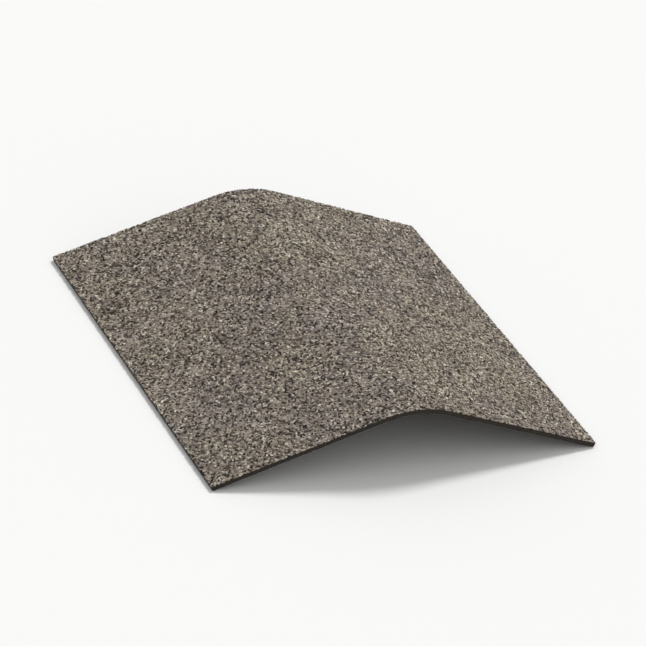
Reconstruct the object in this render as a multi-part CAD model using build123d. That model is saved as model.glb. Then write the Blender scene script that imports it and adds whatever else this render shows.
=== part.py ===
# Ridge cap shingle: one rectangle of mineral-surfaced asphalt sheet, bent along its middle.
# Millimetres. +Y runs along the fold from the exposed front edge to the covered head end,
# +X points to the right wing and +Z up. The cap stands unheld on the lower edges of its two
# wings, and the origin is the centre of the rectangle that it covers on the floor.

import math
import os

from build123d import *

# Driving dimensions
FLAT_WIDTH = 304.8  # across the fold, along the middle of the sheet before it was bent
LENGTH = 304.8  # along the fold, from the front edge to the head end
THICKNESS = 4.0  # sheet with its granules
WING_SLOPE = 18.4  # each wing's fall from the level, in degrees
FOLD_RADIUS = 75.0  # of the underside, at the fold


def wing_run():
    """Length of one wing's flat stretch, from the fold's end to the cut edge."""
    fold_arc = (FOLD_RADIUS + THICKNESS / 2) * 2 * math.radians(WING_SLOPE)
    return (FLAT_WIDTH - fold_arc) / 2


def fold_centre_height():
    """Height of the fold's axis over the floor that the wings stand on."""
    slope = math.radians(WING_SLOPE)
    return wing_run() * math.sin(slope) - FOLD_RADIUS * math.cos(slope)


def wing_point(radius, along):
    """Point of the right wing, as x and z: radius from the fold's axis, along the wing's flat."""
    slope = math.radians(WING_SLOPE)
    x = radius * math.sin(slope) + along * math.cos(slope)
    z = fold_centre_height() + radius * math.cos(slope) - along * math.sin(slope)
    return x, z


def crown_point(radius):
    """Highest point of the fold at one radius."""
    return 0, fold_centre_height() + radius


def mirrored(point):
    """The same point of the left wing."""
    return -point[0], point[1]


def section():
    """Cross-section of the bent sheet, as a face in the XZ plane."""
    inner = FOLD_RADIUS
    outer = FOLD_RADIUS + THICKNESS
    inner_start = wing_point(inner, 0)
    outer_start = wing_point(outer, 0)
    inner_edge = wing_point(inner, wing_run())
    outer_edge = wing_point(outer, wing_run())
    with BuildSketch(Plane.XZ) as sketch:
        with BuildLine():
            ThreePointArc(mirrored(outer_start), crown_point(outer), outer_start)
            Polyline(outer_start, outer_edge, inner_edge, inner_start)
            ThreePointArc(inner_start, crown_point(inner), mirrored(inner_start))
            Polyline(
                mirrored(inner_start),
                mirrored(inner_edge),
                mirrored(outer_edge),
                mirrored(outer_start),
            )
        make_face()
    return sketch.sketch


def cap_shingle():
    """The whole bent sheet, centred along the fold."""
    return extrude(section(), amount=LENGTH / 2, both=True)


os.makedirs("parts", exist_ok=True)
part = cap_shingle()
part.label = "cap_shingle"
export_step(part, "parts/cap_shingle.step")

size = part.bounding_box().size
print(f"cap_shingle: {size.X:.1f} x {size.Y:.1f} x {size.Z:.1f} mm")
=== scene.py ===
# %% [markdown]
# # A ridge cap shingle
# One square of asphalt shingle, bent along its middle. A mat soaked in asphalt holds it together, and
# crushed, coloured rock is pressed into its upper face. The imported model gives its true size, and this
# lesson gives it its looks: thousands of real granules on top, a dark cut edge all round, and a dusted
# back.

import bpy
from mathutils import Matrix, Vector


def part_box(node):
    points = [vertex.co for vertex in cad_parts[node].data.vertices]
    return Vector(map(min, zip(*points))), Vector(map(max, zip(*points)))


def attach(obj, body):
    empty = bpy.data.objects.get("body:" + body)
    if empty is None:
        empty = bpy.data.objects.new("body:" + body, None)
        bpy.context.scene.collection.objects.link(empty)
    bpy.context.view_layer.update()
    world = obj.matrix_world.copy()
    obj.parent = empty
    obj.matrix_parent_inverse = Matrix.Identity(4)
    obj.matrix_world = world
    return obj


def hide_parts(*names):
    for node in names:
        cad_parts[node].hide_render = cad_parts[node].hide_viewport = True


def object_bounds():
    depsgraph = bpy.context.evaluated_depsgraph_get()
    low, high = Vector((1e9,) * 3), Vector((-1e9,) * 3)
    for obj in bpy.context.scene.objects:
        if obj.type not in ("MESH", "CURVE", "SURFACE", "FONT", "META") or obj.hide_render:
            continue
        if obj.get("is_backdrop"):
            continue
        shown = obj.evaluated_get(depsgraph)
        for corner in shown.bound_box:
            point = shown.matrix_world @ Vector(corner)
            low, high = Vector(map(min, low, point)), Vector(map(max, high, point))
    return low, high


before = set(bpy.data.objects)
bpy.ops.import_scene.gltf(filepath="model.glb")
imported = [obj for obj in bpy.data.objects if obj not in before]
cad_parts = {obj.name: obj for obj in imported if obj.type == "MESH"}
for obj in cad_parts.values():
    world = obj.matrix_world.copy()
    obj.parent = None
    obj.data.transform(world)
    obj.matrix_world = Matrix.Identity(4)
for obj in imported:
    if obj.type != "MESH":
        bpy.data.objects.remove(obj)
cad_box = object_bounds()
print("nodes:", sorted(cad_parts))

# %% [markdown]
# Everything else comes with Blender: bmesh builds the pieces, numpy moves many points at once, and one
# seeded source of random numbers makes the same shingle each time the script runs.

# %% Packages and chance
import math
import random

import bmesh
import bpy
import numpy as np
from mathutils import Quaternion, Vector

MM = 0.001
SEED = 21
chance = random.Random(SEED)
print("Blender", bpy.app.version_string)

# %% [markdown]
# The sheet is made flat, where a granule is easy to place, and bent at the end. Three sizes describe the
# bend: the sheet's thickness, the fold's radius at the back, and how far each wing falls. The length and
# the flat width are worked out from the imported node's box, so they can't drift from it.

# %% Sizes of the sheet
THICKNESS = 4.0 * MM
FOLD_RADIUS = 75.0 * MM
WING_SLOPE = math.radians(18.4)

low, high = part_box("cap_shingle")
LENGTH = high.y - low.y
AXIS_HEIGHT = high.z - THICKNESS - FOLD_RADIUS
WING_RUN = (AXIS_HEIGHT + FOLD_RADIUS * math.cos(WING_SLOPE)) / math.sin(WING_SLOPE)
MIDDLE_RADIUS = FOLD_RADIUS + THICKNESS / 2
FLAT_WIDTH = 2 * (WING_RUN + WING_SLOPE * MIDDLE_RADIUS)
print(f"flat sheet: {FLAT_WIDTH / MM:.1f} by {LENGTH / MM:.1f} mm")

# %% [markdown]
# A place on the flat sheet is three numbers: across the fold, along it, and height over the back. Near
# the middle the sheet turns round the fold's axis, and past that it runs on straight. One function takes
# arrays of flat places to bent ones, so the body and the granules follow exactly the same bend.


# %% Bend the sheet
def bent(across, along, height):
    """Places on the flat sheet, taken to the bent one."""
    turn = np.clip(across / MIDDLE_RADIUS, -WING_SLOPE, WING_SLOPE)
    straight = across - turn * MIDDLE_RADIUS
    radius = FOLD_RADIUS + height
    x = radius * np.sin(turn) + straight * np.cos(turn)
    z = AXIS_HEIGHT + radius * np.cos(turn) - straight * np.sin(turn)
    return np.column_stack([x, along, z])


print("crown at", bent(np.zeros(1), np.zeros(1), np.full(1, THICKNESS))[0] / MM, "mm")

# %% [markdown]
# ## The granules' finish
# The rock is crushed and fired with a coloured glaze, and several colours are blended: near-black,
# browns, greys and a little cream. They were judged against the photograph, in its own daylight.
# A shader takes linear colours, so screen colours are turned into linear ones first.


# %% Colours of the rock
def srgb(red, green, blue):
    """A screen colour from 0 to 255, as a linear one, by the curve of the sRGB standard."""
    return tuple(
        v / 12.92 if v <= 0.04045 else ((v + 0.055) / 1.055) ** 2.4
        for v in (red / 255, green / 255, blue / 255)
    )


BLACK_ROCK = srgb(47, 40, 35)
DARK_BROWN = srgb(97, 86, 75)
GREY_BROWN = srgb(146, 135, 122)
MAUVE_GREY = srgb(171, 159, 152)
TAN_GREY = srgb(192, 180, 161)
PALE_STONE = srgb(215, 206, 191)
CREAM = srgb(243, 235, 220)
ROCKS = [BLACK_ROCK, DARK_BROWN, GREY_BROWN, MAUVE_GREY, TAN_GREY, PALE_STONE, CREAM]
print("mauve grey is", [round(v, 2) for v in MAUVE_GREY])

# %% [markdown]
# Each granule will carry one random number, its grain, and a ramp with hard steps turns that number into
# one of the colours. The widths of the steps are the recipe. Two recipes are mixed, one cooler and one
# warmer, because the colour of a real sheet drifts a little from one place to the next.

# %% Two recipes
COOL_SHARES = [10, 15, 20, 26, 12, 12, 5]
WARM_SHARES = [9, 14, 24, 8, 27, 12, 6]


def recipe(shares):
    """Stops for a stepped ramp, where each rock takes its share of the granules."""
    ends = np.cumsum(shares) / np.sum(shares)
    return list(zip([0.0, *ends[:-1]], ROCKS))


print("the cool steps start at", [round(float(at), 2) for at, _ in recipe(COOL_SHARES)])

# %% [markdown]
# A material made of nodes works out a colour at every point of a surface. Each helper adds one kind of
# node to the material's tree. The first two are a number that the mesh carries, and a ramp that turns a
# number into a colour.


# %% Start the granule coat
def new_material(name):
    """A material made of nodes, and its shader."""
    material = bpy.data.materials.new(name)
    material.use_nodes = True
    return material, material.node_tree.nodes["Principled BSDF"]


def attribute(tree, name):
    """The number that a piece's mesh carries under a name."""
    node = tree.nodes.new("ShaderNodeAttribute")
    node.attribute_name = name
    return node.outputs["Fac"]


def ramp(tree, number, stops, interpolation="LINEAR"):
    """Colours along a number from 0 to 1."""
    node = tree.nodes.new("ShaderNodeValToRGB")
    node.color_ramp.interpolation = interpolation
    points = node.color_ramp.elements
    while len(points) < len(stops):
        points.new(0.5)  # anywhere, as each is moved to its place next
    for point, (at, colour) in zip(points, stops):
        point.position = at
        point.color = (*colour, 1)
    tree.links.new(number, node.inputs["Fac"])
    return node.outputs["Color"]


granule_coat, coat_shader = new_material("granule_coat")
coat = granule_coat.node_tree
grain_number = attribute(coat, "grain")
cool_rock = ramp(coat, grain_number, recipe(COOL_SHARES), "CONSTANT")
warm_rock = ramp(coat, grain_number, recipe(WARM_SHARES), "CONSTANT")
print("material:", granule_coat.name)

# %% [markdown]
# The drift between the recipes comes from soft noise, with lumps about as wide as a palm. The noise reads
# Object coordinates, which are fixed to the shingle, so the patches stay in place from every side.

# %% Soft patches
BLEND_PATCH = 70 * MM
BLEND_BORDER = 0.08  # of the noise, to each side of its middle


def grey(level):
    """A grey from 0, black, to 1, white."""
    return (level, level, level)


def noise(tree, size, detail=2.0):
    """Soft noise with lumps of about one size."""
    place = tree.nodes.new("ShaderNodeTexCoord")
    node = tree.nodes.new("ShaderNodeTexNoise")
    node.inputs["Scale"].default_value = 1 / size
    node.inputs["Detail"].default_value = detail
    tree.links.new(place.outputs["Object"], node.inputs["Vector"])
    return node.outputs["Fac"]


def patches(tree, size, border, first, second):
    """Two colours in patches of about one size. A wide border blends them over most of the way."""
    return ramp(tree, noise(tree, size), [(0.5 - border, first), (0.5 + border, second)])


drift = patches(coat, BLEND_PATCH, BLEND_BORDER, grey(0), grey(1))
print("patches about", round(BLEND_PATCH / MM), "mm wide")

# %% [markdown]
# A Mix node blends the two recipes, and the drift is its share. The same kind of node can multiply one
# colour by another, which darkens it, so one helper makes both.


# %% Blend the recipes
def mix(tree, share, first, second, blend="MIX"):
    """Two colours mixed by a share. Each of the three may be a socket or a plain value."""
    node = tree.nodes.new("ShaderNodeMix")
    node.data_type = "RGBA"
    node.blend_type = blend
    # The node has sockets for every kind of data. Those for colours are 0, 6 and 7, and 2 going out.
    for value, socket in ((share, node.inputs[0]), (first, node.inputs[6]), (second, node.inputs[7])):
        if isinstance(value, bpy.types.NodeSocket):
            tree.links.new(value, socket)
        elif isinstance(value, tuple):
            socket.default_value = (*value, 1)
        else:
            socket.default_value = value
    return node.outputs[2]


rock_colour = mix(coat, drift, cool_rock, warm_rock)
print("nodes so far:", len(coat.nodes))

# %% [markdown]
# No two granules of one colour are alike. Each is a little darker or lighter than the next, its rock is
# mottled, and wide, faint clouds and tints lie over the whole sheet, because no two sacks of rock are
# fired quite alike. Each of these is a grey or a tint that the colour is multiplied by. White noise
# gives the first: it is random, but the same wherever the grain is.

# %% Vary the granules
LEAST_TONE = 0.64  # the darkest granule, where 1 is its rock's own colour
MOTTLE = 0.5 * MM
MOTTLE_BORDER = 0.2
MOTTLE_SHADE = (0.76, 0.75, 0.74)
CLOUD = 22 * MM
CLOUD_BORDER = 0.12
CLOUD_SHADE = grey(0.87)
TINT_PATCH = 45 * MM
TINT_BORDER = 0.1
MAUVE_TINT = (0.985, 0.975, 1)
TAN_TINT = (1, 1, 0.965)


def tone(tree, number, least):
    """A grey by chance, from a least one to white."""
    node = tree.nodes.new("ShaderNodeTexWhiteNoise")
    node.noise_dimensions = "1D"
    tree.links.new(number, node.inputs["W"])
    return ramp(tree, node.outputs["Value"], [(0.0, grey(least)), (1.0, grey(1))])


def darkened(tree, colour, by):
    """A colour multiplied by another."""
    return mix(tree, 1.0, colour, by, "MULTIPLY")


for veil in (
    tone(coat, grain_number, LEAST_TONE),
    patches(coat, MOTTLE, MOTTLE_BORDER, MOTTLE_SHADE, grey(1)),
    patches(coat, CLOUD, CLOUD_BORDER, CLOUD_SHADE, grey(1)),
    patches(coat, TINT_PATCH, TINT_BORDER, MAUVE_TINT, TAN_TINT),
):
    rock_colour = darkened(coat, rock_colour, veil)
print("with the veils:", len(coat.nodes))

# %% [markdown]
# Asphalt shows between the granules, so the colour falls to near-black towards the foot of each one. The
# mesh marks that with a number called rise, 0 at the foot and 1 on top. Fired rock is dry and rough, with
# hardly any gloss. Roughness and gloss are the same all over, so they are set on the shader itself.

# %% Asphalt between the granules
ASPHALT = srgb(40, 34, 29)
CLEAN_SPAN = (0, 0.75)  # of the rise, from asphalt to clean rock
ROCK_ROUGHNESS = 0.82
ROCK_GLOSS = 0.35


def rising(tree, number, span):
    """A grey that rises from black to white over a span of a number."""
    start, end = span
    return ramp(tree, number, [(start, grey(0)), (end, grey(1))])


def set_gloss(shader, roughness, gloss):
    """Sets how rough and how glossy a finish is."""
    shader.inputs["Roughness"].default_value = roughness
    shader.inputs["Specular IOR Level"].default_value = gloss


clean = rising(coat, attribute(coat, "rise"), CLEAN_SPAN)
coat.links.new(mix(coat, clean, ASPHALT, rock_colour), coat_shader.inputs["Base Color"])
set_gloss(coat_shader, ROCK_ROUGHNESS, ROCK_GLOSS)
print("nodes in the granule coat:", len(coat.nodes))

# %% [markdown]
# ## The bare asphalt's finish
# A knife lays the inside of the sheet open all round: black asphalt filled with stone dust, and in its
# middle the thin mat of glass fibre. The mesh marks each point's depth in the sheet, 0 at the back and 1
# under the granules, so a ramp on that number draws the mat where it lies. Fine noise gives the dust, and
# breaks the mat into fibres.

# %% Cut edge
CUT_ASPHALT = srgb(36, 31, 27)
CUT_STONE = srgb(74, 66, 58)
MAT_FIBRE = srgb(92, 80, 66)
SPECKS = 0.45 * MM
SPECK_DETAIL = 3.0
DUST_SPAN = (0.58, 0.66)
FIBRE_SPAN = (0.4, 0.6)
MAT_SHARE = grey(0.6)  # the asphalt soaks the fibres, and shows through them
MAT_STOPS = [(0.36, grey(0)), (0.44, MAT_SHARE), (0.52, MAT_SHARE), (0.6, grey(0))]

dusted_asphalt, bare_shader = new_material("dusted_asphalt")
bare = dusted_asphalt.node_tree
depth_number = attribute(bare, "depth")
specks = noise(bare, SPECKS, SPECK_DETAIL)
dust = rising(bare, specks, DUST_SPAN)
fibres = rising(bare, specks, FIBRE_SPAN)
fibre_mat = darkened(bare, ramp(bare, depth_number, MAT_STOPS), fibres)
cut_colour = mix(bare, fibre_mat, mix(bare, dust, CUT_ASPHALT, CUT_STONE), MAT_FIBRE)
print("material:", dusted_asphalt.name)

# %% [markdown]
# The back is dusted with fine sand, so that shingles don't stick together in their pack. A Voronoi
# texture scatters it: each of its cells has a middle, where a grain may lie, and a colour by chance,
# which decides whether one does and how pale it is. Noise is mixed into the distance from the middle, so
# the grains are ragged and differ in size. Between them lies the finest of the sand, as a dust, and all
# of it is thicker in some places than in others.

# %% Sand on the back
BACK_ASPHALT = srgb(43, 39, 35)
SAND_DUST = srgb(92, 86, 79)
DARK_SAND = srgb(78, 72, 66)
PALE_SAND = srgb(142, 134, 123)
SAND = 0.8 * MM
SAND_SPAN = (0.34, 0.38)  # of a cell's chance, from no grain to one
SAND_STOPS = [(0.3, grey(0)), (0.45, DARK_SAND), (0.75, PALE_SAND)]
RAGGED = 0.4  # share of the noise in a grain's outline
OUTLINE_STOPS = [(0.45, grey(1)), (0.54, grey(0))]
FINE_SPAN = (0.4, 0.68)
SAND_PATCH = 40 * MM
THICK_STOPS = [(0.35, grey(0.5)), (0.7, grey(1))]


def cells(tree, size):
    """Cells of about one size: how far from a cell's middle, and a colour by chance for each cell."""
    place = tree.nodes.new("ShaderNodeTexCoord")
    node = tree.nodes.new("ShaderNodeTexVoronoi")
    node.inputs["Scale"].default_value = 1 / size
    tree.links.new(place.outputs["Object"], node.inputs["Vector"])
    return node.outputs["Distance"], node.outputs["Color"]


from_middle, cell_chance = cells(bare, SAND)
ragged = mix(bare, RAGGED, from_middle, specks)
in_outline = ramp(bare, ragged, OUTLINE_STOPS)
sand = darkened(bare, rising(bare, cell_chance, SAND_SPAN), in_outline)
thick = ramp(bare, noise(bare, SAND_PATCH), THICK_STOPS)
fine_sand = darkened(bare, rising(bare, specks, FINE_SPAN), thick)
dusty_asphalt = mix(bare, fine_sand, BACK_ASPHALT, SAND_DUST)
sand_colour = ramp(bare, cell_chance, SAND_STOPS)
back_colour = mix(bare, darkened(bare, sand, thick), dusty_asphalt, sand_colour)
print("grains of sand about", round(SAND / MM, 1), "mm apart")

# %% [markdown]
# The back has a depth of 0 and the cut edge has more, so the same number chooses between the two colours
# and the two reliefs. The relief is too fine for the mesh, and a bump node only shades it.

# %% Join the back and the edge
RELIEF = 0.15 * MM
EDGE_SPAN = (0, 0.08)  # of the depth, from the back to the cut edge
ASPHALT_ROUGHNESS = 0.9
ASPHALT_GLOSS = 0.3


def bump(tree, shader, height, depth):
    """A fine relief that only shades."""
    node = tree.nodes.new("ShaderNodeBump")
    node.inputs["Distance"].default_value = depth
    tree.links.new(height, node.inputs["Height"])
    tree.links.new(node.outputs["Normal"], shader.inputs["Normal"])


on_edge = rising(bare, depth_number, EDGE_SPAN)
bare.links.new(mix(bare, on_edge, back_colour, cut_colour), bare_shader.inputs["Base Color"])
bump(bare, bare_shader, mix(bare, on_edge, sand, specks), RELIEF)
set_gloss(bare_shader, ASPHALT_ROUGHNESS, ASPHALT_GLOSS)
print("nodes in the dusted asphalt:", len(bare.nodes))

# %% [markdown]
# ## Granules
# Crushed rock packs edge to edge, in pieces with four to eight sides. Such a tiling comes from a grid of
# points, one for each granule. The rows are moved to the left and to the right in turn, by a quarter of a
# step, and then each point is shaken, so that no row shows. The rim stays a hair inside the sheet's true
# outline.

# %% Shake a grid of points
PITCH = 1.3 * MM  # from one granule to the next
ROW_SHIFT = 0.25  # of the pitch
SHAKE = 0.45  # of the pitch, each way
RIM_INSET = 0.1 * MM


def shaken_grid():
    """A flat grid over the sheet, with its inner points moved by chance."""
    bm = bmesh.new()
    width = FLAT_WIDTH - 2 * RIM_INSET
    length = LENGTH - 2 * RIM_INSET
    columns = round(FLAT_WIDTH / PITCH)
    rows = round(LENGTH / PITCH)
    bmesh.ops.create_grid(bm, x_segments=columns, y_segments=rows, size=0.5)
    for v in bm.verts:  # which lie from -0.5 to 0.5 m so far
        row = round((v.co.y + 0.5) * rows)
        shift = ROW_SHIFT if row % 2 else -ROW_SHIFT
        v.co.x *= width
        v.co.y *= length
        if not v.is_boundary:
            v.co.x += width / columns * (shift + chance.uniform(-SHAKE, SHAKE))
            v.co.y += length / rows * chance.uniform(-SHAKE, SHAKE)
    return bm


tiling = shaken_grid()
print("points:", len(tiling.verts))

# %% [markdown]
# Taking out a few points leaves room for larger granules. The squares are then cut into triangles, and
# each point trades places with the triangles round it: every edge gets a point at its middle, every
# triangle gets one too, and dissolving the old points leaves a face round each of them. Each corner of
# such a face belongs to three faces, so granules never touch at a single point.

# %% Trade points for faces
LOST_SHARE = 0.12  # of the inner points


def trade_points_for_faces(bm):
    """Turns each point of a triangle mesh into a face, but for the four corners of the sheet."""
    old = bm.verts.layers.int.new("old")
    for v in bm.verts:
        v[old] = len(v.link_edges) > 2 or not v.is_boundary
    cut = bmesh.ops.bisect_edges(bm, edges=bm.edges[:], cuts=1)
    poked = bmesh.ops.poke(bm, faces=bm.faces[:])
    for v in cut["geom_split"] + poked["verts"]:
        if isinstance(v, bmesh.types.BMVert):
            v[old] = 0
    bmesh.ops.dissolve_verts(bm, verts=[v for v in bm.verts if v[old]])
    on_edges = [v for v in bm.verts if len(v.link_edges) == 2 and not v.is_boundary]
    bmesh.ops.dissolve_verts(bm, verts=on_edges)


inner = [v for v in tiling.verts if not v.is_boundary]
bmesh.ops.dissolve_verts(tiling, verts=chance.sample(inner, int(LOST_SHARE * len(inner))))
bmesh.ops.triangulate(tiling, faces=tiling.faces[:], quad_method="SHORT_EDGE", ngon_method="BEAUTY")
trade_points_for_faces(tiling)
print("faces:", len(tiling.faces))

# %% [markdown]
# Crushed rock has no two sides alike, so each corner is nudged, and less where a side is short, so that
# none turns over. Where the knife went through, some of the granules at the rim broke off. None does
# next to a corner of the sheet, where it would leave a neighbour hanging by a point.

# %% Crush the granules and chip the rim
NUDGE = 0.13 * MM  # each way, at most
SIDE_SHARE = 0.4  # of the shortest side at a corner, the most that it is nudged
CHIPPED_SHARE = 0.16  # of the granules at the rim
WHOLE_CORNER = 3 * PITCH  # round a corner of the sheet, where nothing breaks off


def nudge(corner):
    """Moves a corner of the tiling a little, by chance."""
    shortest = min(side.calc_length() for side in corner.link_edges)
    reach = min(NUDGE, SIDE_SHARE * shortest)
    corner.co.x += chance.uniform(-reach, reach)
    corner.co.y += chance.uniform(-reach, reach)


def chip_rim(bm):
    """Takes some of the cut granules off the sheet's edges."""
    rim = []
    for face in bm.faces:
        centre = face.calc_center_median()
        beside_end = abs(centre.y) > LENGTH / 2 - WHOLE_CORNER
        at_corner = beside_end and abs(centre.x) > FLAT_WIDTH / 2 - WHOLE_CORNER
        if sum(v.is_boundary for v in face.verts) == 2 and not at_corner:
            rim.append(face)
    bmesh.ops.delete(bm, geom=chance.sample(rim, int(CHIPPED_SHARE * len(rim))), context="FACES")


for v in tiling.verts:
    if not v.is_boundary:
        nudge(v)
chip_rim(tiling)
print("granules:", len(tiling.faces))

# %% [markdown]
# Each granule gets its grain, a number that picks its colour. A piece may hold up to 200,000 triangles,
# so the sheet's granules are shared among strips that run along the fold, and each granule belongs whole
# to one strip. A strip is long and narrow, so its two halves will lie side by side on its UV map, where a
# bake gives them twice the detail along the fold.

# %% Grains and strips
STRIPS = ["left_edge", "left_middle", "left_fold", "right_fold", "right_middle", "right_edge"]
STRIP_WIDTH = FLAT_WIDTH / len(STRIPS)

grain = tiling.faces.layers.float.new("grain")
strip = tiling.faces.layers.int.new("strip")
half = tiling.faces.layers.int.new("half")
for face in tiling.faces:
    centre = face.calc_center_median()
    face[grain] = chance.random()
    face[strip] = min(int((centre.x + FLAT_WIDTH / 2) / STRIP_WIDTH), len(STRIPS) - 1)
    face[half] = centre.y > 0
print("granules in each strip:", np.bincount([face[strip] for face in tiling.faces]).tolist())

# %% [markdown]
# A granule stands up out of the asphalt. Insetting each face by itself leaves a top inside a ring of
# sloping sides, with a groove between one granule and the next. The insets come in a few widths, so some
# granules crowd their neighbours and others stand apart. Small or pointed ones always get the narrowest,
# because a wide inset would cross itself there. A face too slim for any inset stays flat, as bare asphalt.

# %% Groove round the granules
GAPS = [0.07 * MM, 0.11 * MM, 0.16 * MM]  # half of a groove
SMALL_GRANULE = 1.2 * MM**2
POINTED = math.radians(55)
SLIM = 0.22 * MM  # mean width of a face, which is twice its area over its perimeter


def is_tight(face):
    """Whether a granule is too small or too pointed for a wide groove."""
    sharpest = min(corner.calc_angle() for corner in face.loops)
    return face.calc_area() < SMALL_GRANULE or sharpest < POINTED


def cut_grooves(bm):
    """Insets every face that is wide enough, and gives the tops that this leaves."""
    tops = [f for f in bm.faces if 2 * f.calc_area() > SLIM * f.calc_perimeter()]
    groups = [[] for gap in GAPS]
    for top in tops:
        groups[0 if is_tight(top) else chance.randrange(len(GAPS))].append(top)
    for group, gap in zip(groups, GAPS):
        bmesh.ops.inset_individual(bm, faces=group, thickness=gap, use_even_offset=True)
    return tops


print("grooves:", [round(2 * gap / MM, 2) for gap in GAPS], "mm")

# %% [markdown]
# The points of each top are lifted by that granule's own height and tilt, with a little chance at each
# point. A few granules were pressed deep and hardly show. No point rises over the sheet's true face.

# %% Lift the tops
COAT_DEPTH = 0.85 * MM  # from the feet of the granules to the sheet's true upper face
COAT_FOOT = THICKNESS - COAT_DEPTH
TOP_CLEAR = 0.02 * MM  # under that face
SUNK_SHARE = 0.04  # of the granules
SUNK_RISE = 0.1 * MM
SUNK_MARK = 0.25  # a sunk granule's rise, which leaves asphalt smeared on it
LEAST_RISE = 0.3 * MM
MOST_RISE = 0.66 * MM
LEAST_LIFT = 0.04 * MM  # of any point of a top
TILT = 0.2  # spread of the slopes of the tops
FACET = 0.05 * MM  # each way, at every point of a top


def lift_tops(tops, rise):
    """Lifts and tilts every top, and marks how high its points are."""
    for top in tops:
        centre = top.calc_center_median()
        sunk = chance.random() < SUNK_SHARE
        height = SUNK_RISE if sunk else chance.uniform(LEAST_RISE, MOST_RISE)
        slope = Vector((chance.gauss(0, TILT), chance.gauss(0, TILT)))
        for v in top.verts:
            lift = height + slope.dot((v.co - centre).xy) + chance.uniform(-FACET, FACET)
            v.co.z = min(COAT_FOOT + max(lift, LEAST_LIFT), THICKNESS - TOP_CLEAR)
            v[rise] = SUNK_MARK if sunk else 1.0


print("granules stand", round(LEAST_RISE / MM, 2), "to", round(MOST_RISE / MM, 2), "mm high")

# %% [markdown]
# Crushed stone breaks in flat facets. So each lifted top is split into triangles round a peak, which lies
# off its middle and a little higher.

# %% Raise the granules
PEAK = 0.2 * MM
PEAK_SHIFT = 0.6  # of the way from the middle to a corner, at most


def raise_granules(bm):
    """Turns every face of a flat tiling into a granule."""
    rise = bm.verts.layers.float.new("rise")
    tops = cut_grooves(bm)
    for v in bm.verts:
        v.co.z = COAT_FOOT
    lift_tops(tops, rise)
    poked = bmesh.ops.poke(bm, faces=tops)
    for peak in poked["verts"]:
        ring = [e.other_vert(peak) for e in peak.link_edges]
        toward = chance.choice(ring).co - peak.co
        peak.co += toward * chance.uniform(0.0, PEAK_SHIFT)
        peak.co.z = min(peak.co.z + chance.uniform(0.0, PEAK), THICKNESS - TOP_CLEAR)
        peak[rise] = ring[0][rise]


print("peaks stand up to", round(PEAK / MM, 2), "mm over their tops")

# %% [markdown]
# Under the granules each strip gets a shallow skirt and a floor, sunk into the body of the sheet, so
# that it is a closed solid. The floor is filled flat as one face. Planes cut it where the sheet will
# bend, because a face can't bend between its points.

# %% Close a shell below
SKIRT = 0.5 * MM  # down from the feet of the granules
BEND_CUTS = 12  # from one end of the fold's arc to the other
TOUCH = 0.0001 * MM  # nearer than this, two places are the same


def cut_where_it_bends(bm, faces):
    """Slices flat faces along the fold, so that they can follow the bend."""
    reach = WING_SLOPE * MIDDLE_RADIUS
    for i in range(BEND_CUTS + 1):
        at = reach * (2 * i / BEND_CUTS - 1)
        faces = [f for f in faces if f.is_valid]
        # A dict keeps the order of what goes in, so each run cuts alike. A set wouldn't.
        edges = dict.fromkeys(e for f in faces for e in f.edges)
        verts = dict.fromkeys(v for f in faces for v in f.verts)
        cut = bmesh.ops.bisect_plane(
            bm, geom=[*verts, *edges, *faces], plane_co=(at, 0, 0), plane_no=(1, 0, 0), dist=TOUCH
        )
        faces = [g for g in cut["geom"] if isinstance(g, bmesh.types.BMFace)]


def close_with_skirt(bm, depth):
    """Hangs a skirt from an open mesh's boundary and fills it across with a flat face."""
    rim = [e for e in bm.edges if e.is_boundary]
    skirt = bmesh.ops.extrude_edge_only(bm, edges=rim)
    lower = [v for v in skirt["geom"] if isinstance(v, bmesh.types.BMVert)]
    bmesh.ops.translate(bm, vec=(0, 0, -depth), verts=lower)
    loop = [e for e in bm.edges if e.is_boundary]
    filled = bmesh.ops.contextual_create(bm, geom=loop)
    cut_where_it_bends(bm, filled["faces"])


print("the skirt ends", round((COAT_FOOT - SKIRT) / MM, 2), "mm over the back")

# %% [markdown]
# A strip's UV map is the flat sheet itself, seen from above, with its two halves side by side. The
# hidden skirt and floor are squeezed into a thin band along the map's lower side, where they can't cover
# the granules. The map is named OFBake.

# %% Map a strip
MAP_MARGIN = 1.5 * MM  # round each half of a strip
BAND = 0.03  # of the map's height, for the hidden faces
BAND_EDGE = 0.1  # of the band, left free below them and above
SLANT = 0.1  # of the map's width, so that no skirt shrinks to a line


def hidden_place(across, along, depth):
    """A place in the band, from shares of the way across, along and down the skirt."""
    up = BAND_EDGE + (1 - 2 * BAND_EDGE) * (across + depth) / 2
    return (1 - SLANT) * along + SLANT * across, BAND * up


def map_strip(bm, number):
    """Lays the strip's UV map out from its flat places."""
    layer = bm.loops.layers.uv.new("OFBake")
    mark = bm.faces.layers.int["half"]
    start = number * STRIP_WIDTH - FLAT_WIDTH / 2
    for face in bm.faces:
        hidden = min(v.co.z for v in face.verts) < COAT_FOOT - TOUCH
        for corner in face.loops:
            x, y, z = corner.vert.co
            across = (x - start + MAP_MARGIN) / (STRIP_WIDTH + 2 * MAP_MARGIN)
            if hidden:
                corner[layer].uv = hidden_place(across, y / LENGTH + 0.5, (COAT_FOOT - z) / SKIRT)
            else:
                along = ((y if face[mark] else -y) + MAP_MARGIN) / (LENGTH / 2 + 2 * MAP_MARGIN)
                corner[layer].uv = ((across + face[mark]) / 2, BAND + (1 - BAND) * along)


print("map margin:", MAP_MARGIN / MM, "mm")

# %% [markdown]
# Every piece ends the same way. Its flat points go through the bend, its faces get their finish, and it
# rides with the shingle, which is a single body. Extruding an edge leaves the new faces in no fixed
# order, so they are sorted by the numbers of their points, and each run gives the same mesh.


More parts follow.
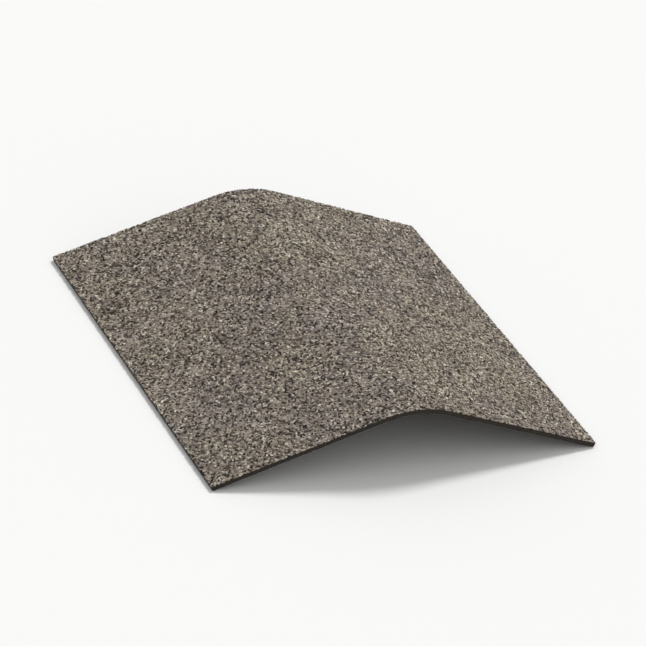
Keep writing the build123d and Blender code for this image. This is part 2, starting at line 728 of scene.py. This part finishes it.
# %% Finish a piece
def sort_faces(bm):
    """Puts the triangles in the order of their points."""
    count = len(bm.verts)
    bm.verts.index_update()

    def number(face):
        first, second, third = sorted(v.index for v in face.verts)
        return (first * count + second) * count + third

    bm.faces.sort(key=number)


def bent_piece(bm, name, material):
    """Turns a flat bmesh into a bent object that rides with the shingle."""
    sort_faces(bm)
    mesh = bpy.data.meshes.new(name)
    bm.to_mesh(mesh)
    bm.free()
    flat = np.empty(3 * len(mesh.vertices), np.float32)
    mesh.vertices.foreach_get("co", flat)
    flat = flat.reshape(-1, 3).astype(float)
    mesh.vertices.foreach_set("co", bent(*flat.T).astype(np.float32).ravel())
    mesh.materials.append(material)
    mesh.update()
    piece = bpy.data.objects.new(name, mesh)
    bpy.context.scene.collection.objects.link(piece)
    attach(piece, "root")
    print(name, len(mesh.polygons), "triangles")
    return piece


# %% [markdown]
# Now each strip takes its own faces from a copy of the tiling, and goes through all of the steps.

# %% Make the granule strips
for number, place in enumerate(STRIPS):
    bm = tiling.copy()
    mark = bm.faces.layers.int["strip"]
    bmesh.ops.delete(bm, geom=[f for f in bm.faces if f[mark] != number], context="FACES")
    raise_granules(bm)
    close_with_skirt(bm, SKIRT)
    bmesh.ops.triangulate(bm, faces=bm.faces[:])
    bmesh.ops.recalc_face_normals(bm, faces=bm.faces[:])
    map_strip(bm, number)
    bent_piece(bm, "granules_" + place, granule_coat)
tiling.free()

# %% [markdown]
# ## The body of the sheet
# Below the granules is the asphalt itself. Its back is a grid, whose rim is cut finer and pulled up into
# walls in a few rows. A flat face closes the top, out of sight under the granules.

# %% Walls and back
BACK_CELL = 3 * MM
RIM_CUTS = 3  # in each cell's edge on the rim
WALL_ROWS = 4
BODY_INSET = 0.3 * MM  # the granules stand a little over the cut edge
TOP_GAP = 0.1 * MM  # from the body to the granules' feet, where only their skirts pass
BODY_TOP = COAT_FOOT - TOP_GAP
BODY_WIDTH = FLAT_WIDTH - 2 * BODY_INSET
BODY_LENGTH = LENGTH - 2 * BODY_INSET


def walled_sheet():
    """A closed flat slab, with fine walls."""
    bm = bmesh.new()
    squares = round(BODY_WIDTH / BACK_CELL)
    bmesh.ops.create_grid(bm, x_segments=squares, y_segments=squares, size=0.5)
    bmesh.ops.scale(bm, vec=(BODY_WIDTH, BODY_LENGTH, 1), verts=bm.verts)
    bmesh.ops.reverse_faces(bm, faces=bm.faces[:])
    rim = [e for e in bm.edges if e.is_boundary]
    bmesh.ops.subdivide_edges(bm, edges=rim, cuts=RIM_CUTS)
    for row in range(WALL_ROWS):
        rim = [e for e in bm.edges if e.is_boundary]
        raised = bmesh.ops.extrude_edge_only(bm, edges=rim)
        verts = [g for g in raised["geom"] if isinstance(g, bmesh.types.BMVert)]
        bmesh.ops.translate(bm, vec=(0, 0, BODY_TOP / WALL_ROWS), verts=verts)
    filled = bmesh.ops.contextual_create(bm, geom=[e for e in bm.edges if e.is_boundary])
    cut_where_it_bends(bm, filled["faces"])
    return bm


slab = walled_sheet()
print("faces of the slab:", len(slab.faces))

# %% [markdown]
# The body gets a UV map of its own too. The back, as seen from below, takes most of it. The four walls
# are long and thin, so each is cut in two and the halves are stacked as rows, which gives the layers of
# the cut edge twice the detail of the back. The hidden top is squeezed into one more row.

# %% Places on the body's map
WALL_SIDES = [Vector((0, -1, 0)), Vector((1, 0, 0)), Vector((0, 1, 0)), Vector((-1, 0, 0))]
ROW_STEP = 0.021  # of the map's height, from one row to the next
ROW_HEIGHT = 0.018
MAP_EDGE = 0.004  # left free round the back, and at the ends of the rows
TOP_ROW = 2 * len(WALL_SIDES)
BACK_START = (TOP_ROW + 1) * ROW_STEP


def row_place(row, along, up):
    """A place in a row of the map, from its share of the way along and up."""
    return MAP_EDGE + (1 - 2 * MAP_EDGE) * along, ROW_STEP * row + ROW_HEIGHT * up


def back_place(point):
    """A place on the map for a point of the back."""
    along = 0.5 - point.x / BODY_WIDTH
    up = 0.5 + point.y / BODY_LENGTH
    room = 1 - MAP_EDGE - BACK_START
    return MAP_EDGE + (1 - 2 * MAP_EDGE) * along, BACK_START + room * up


print("the back starts at", round(BACK_START, 2), "of the map's height")

# %% [markdown]
# Which way a face looks tells where it belongs: down is the back, up is the hidden top, and any other way
# is a wall. Places along a wall are counted from its left end, as seen from outside.


# %% Map the body
def wall_share(point, outward):
    """How far along a wall a point is, as a share. Outward is the way that the wall looks."""
    rightward = Vector((0, 0, 1)).cross(outward)
    return 0.5 + point.x * rightward.x / BODY_WIDTH + point.y * rightward.y / BODY_LENGTH


def map_sheet(bm):
    """Lays the body's UV map out from its flat places."""
    layer = bm.loops.layers.uv.new("OFBake")
    for face in bm.faces:
        looks = round(face.normal.z)  # -1 for the back, 1 for the top and 0 for a wall
        side = max(range(len(WALL_SIDES)), key=lambda i: WALL_SIDES[i].dot(face.normal))
        half = int(2 * wall_share(face.calc_center_median(), WALL_SIDES[side]))
        for corner in face.loops:
            point = corner.vert.co
            if looks == -1:
                place = back_place(point)
            elif looks == 1:
                place = row_place(TOP_ROW, 0.5 + point.x / BODY_WIDTH, 0.5 + point.y / BODY_LENGTH)
            else:
                along = 2 * wall_share(point, WALL_SIDES[side]) - half
                place = row_place(2 * side + half, along, point.z / BODY_TOP)
            corner[layer].uv = place


print("rows on the body's map:", TOP_ROW + 1)

# %% [markdown]
# A knife drags in asphalt, and the cut is never quite clean, so the points of the walls are pushed in and
# out a little. The imported node is hidden, and stays in the scene. The piece stands for the imported
# node, which stays behind for collision.

# %% Rough edge, and the finished body
ROUGH = 0.15 * MM  # each way, at most

depth = slab.verts.layers.float.new("depth")
for v in slab.verts:
    v[depth] = v.co.z / BODY_TOP
    if abs(v.co.x) > BODY_WIDTH / 2 - TOUCH:
        v.co.x += chance.uniform(-ROUGH, ROUGH)
    if abs(v.co.y) > BODY_LENGTH / 2 - TOUCH:
        v.co.y += chance.uniform(-ROUGH, ROUGH)
bmesh.ops.triangulate(slab, faces=slab.faces[:])
bmesh.ops.recalc_face_normals(slab, faces=slab.faces[:])
map_sheet(slab)
body = bent_piece(slab, "asphalt_sheet", dusted_asphalt)
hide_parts("cap_shingle")

# %% [markdown]
# ## Studio
# The shingle stands on a plain pale floor, which is marked as stage and so isn't part of it. A rough floor
# without gloss keeps a soft shadow and shows no reflection.

# %% Floor
FLOOR_SIZE = 12.0  # metres
FLOOR_COLOUR = (0.93, 0.93, 0.92, 1)
FLOOR_ROUGHNESS = 0.95
FLOOR_GLOSS = 0.1


def floor():
    """One large pale face at the level that the shingle stands on."""
    bm = bmesh.new()
    bmesh.ops.create_grid(bm, x_segments=1, y_segments=1, size=FLOOR_SIZE / 2)
    mesh = bpy.data.meshes.new("floor")
    bm.to_mesh(mesh)
    bm.free()
    material, shader = new_material("pale_floor")
    shader.inputs["Base Color"].default_value = FLOOR_COLOUR
    set_gloss(shader, FLOOR_ROUGHNESS, FLOOR_GLOSS)
    mesh.materials.append(material)
    ground = bpy.data.objects.new("floor", mesh)
    bpy.context.scene.collection.objects.link(ground)
    ground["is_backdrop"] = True


floor()
print("floor:", FLOOR_SIZE, "m")

# %% [markdown]
# An even white dome of light fills the shadows. Its light on the shingle is plain, but what the camera
# sees of it is pure white, and so is its reflection in anything glossy or clear. Light Path tells such
# rays from the ones that only carry light.

# %% Dome of light
DOME_STRENGTH = 0.6
DOME_COLOUR = (1, 1, 1, 1)


def dome():
    """A white world, with one strength for light and another for what is seen."""
    world = bpy.data.worlds.new("dome")
    world.use_nodes = True
    tree = world.node_tree
    light = tree.nodes["Background"]
    light.inputs["Color"].default_value = DOME_COLOUR
    light.inputs["Strength"].default_value = DOME_STRENGTH
    white = tree.nodes.new("ShaderNodeBackground")
    white.inputs["Color"].default_value = DOME_COLOUR
    path = tree.nodes.new("ShaderNodeLightPath")
    seen = path.outputs["Is Camera Ray"]
    for kind in ("Is Glossy Ray", "Is Transmission Ray"):
        either = tree.nodes.new("ShaderNodeMath")
        either.operation = "MAXIMUM"
        tree.links.new(seen, either.inputs[0])
        tree.links.new(path.outputs[kind], either.inputs[1])
        seen = either.outputs["Value"]
    choice = tree.nodes.new("ShaderNodeMixShader")
    tree.links.new(seen, choice.inputs["Fac"])
    tree.links.new(light.outputs["Background"], choice.inputs[1])
    tree.links.new(white.outputs["Background"], choice.inputs[2])
    tree.links.new(choice.outputs["Shader"], tree.nodes["World Output"].inputs["Surface"])
    bpy.context.scene.world = world


dome()
print("dome:", DOME_STRENGTH)

# %% [markdown]
# One soft sun stands to the right and behind, where the photograph's light comes from, so the front edge
# falls in shade. A sun lights the floor evenly however far it reaches, and its angle sets how soft the
# shadows are.

# %% Sun
SUN_STRENGTH = 1.7
SUN_ANGLE = math.radians(14)
SUN_FROM = (1.1, 0.9, 1.8)


def sun():
    """The main light, aimed at the shingle."""
    data = bpy.data.lights.new("sun", "SUN")
    data.energy = SUN_STRENGTH
    data.angle = SUN_ANGLE
    lamp = bpy.data.objects.new("sun", data)
    lamp.rotation_mode = "QUATERNION"
    lamp.rotation_quaternion = (-Vector(SUN_FROM)).to_track_quat("-Z", "Y")
    bpy.context.scene.collection.objects.link(lamp)


sun()
print("sun:", SUN_STRENGTH)

# %% [markdown]
# Taken into the shingle's own frame, the photograph's camera stands to the left of the fold's front end
# and above it, and leans a little, because the fold runs downhill there. The lens is long, as that
# camera was far away.

# %% Camera
VIEW_SIDE = math.radians(29)
VIEW_DOWN = math.radians(30)
VIEW_LEAN = math.radians(10)
VIEW_DISTANCE = 2.6  # metres
SENSOR = 36.0  # millimetres, as for the lens
LENS = 205.0


def camera():
    """The photograph's view, aimed at the middle of the shingle."""
    level = math.cos(VIEW_DOWN)
    toward = Vector((math.sin(VIEW_SIDE) * level, math.cos(VIEW_SIDE) * level, -math.sin(VIEW_DOWN)))
    middle = (Vector(cad_box[0]) + Vector(cad_box[1])) / 2
    data = bpy.data.cameras.new("camera")
    data.sensor_width = SENSOR
    data.lens = LENS
    view = bpy.data.objects.new("camera", data)
    view.location = middle - toward * VIEW_DISTANCE
    view.rotation_mode = "QUATERNION"
    view.rotation_quaternion = toward.to_track_quat("-Z", "Y") @ Quaternion((0, 0, 1), VIEW_LEAN)
    bpy.context.scene.collection.objects.link(view)
    bpy.context.scene.camera = view


camera()
bpy.context.scene.view_settings.view_transform = "Standard"
print("camera at", [round(v, 2) for v in bpy.context.scene.camera.location])

# %% [markdown]
# The dressed shingle has to stay inside the imported model's box. Both boxes are kept and printed, the
# imported one and the dressed one.

# %% Measure and finish
boxes = {"cad": cad_box, "visual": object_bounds()}
for name, (least, most) in boxes.items():
    print(name, [round(v / MM, 2) for v in least], [round(v / MM, 2) for v in most])
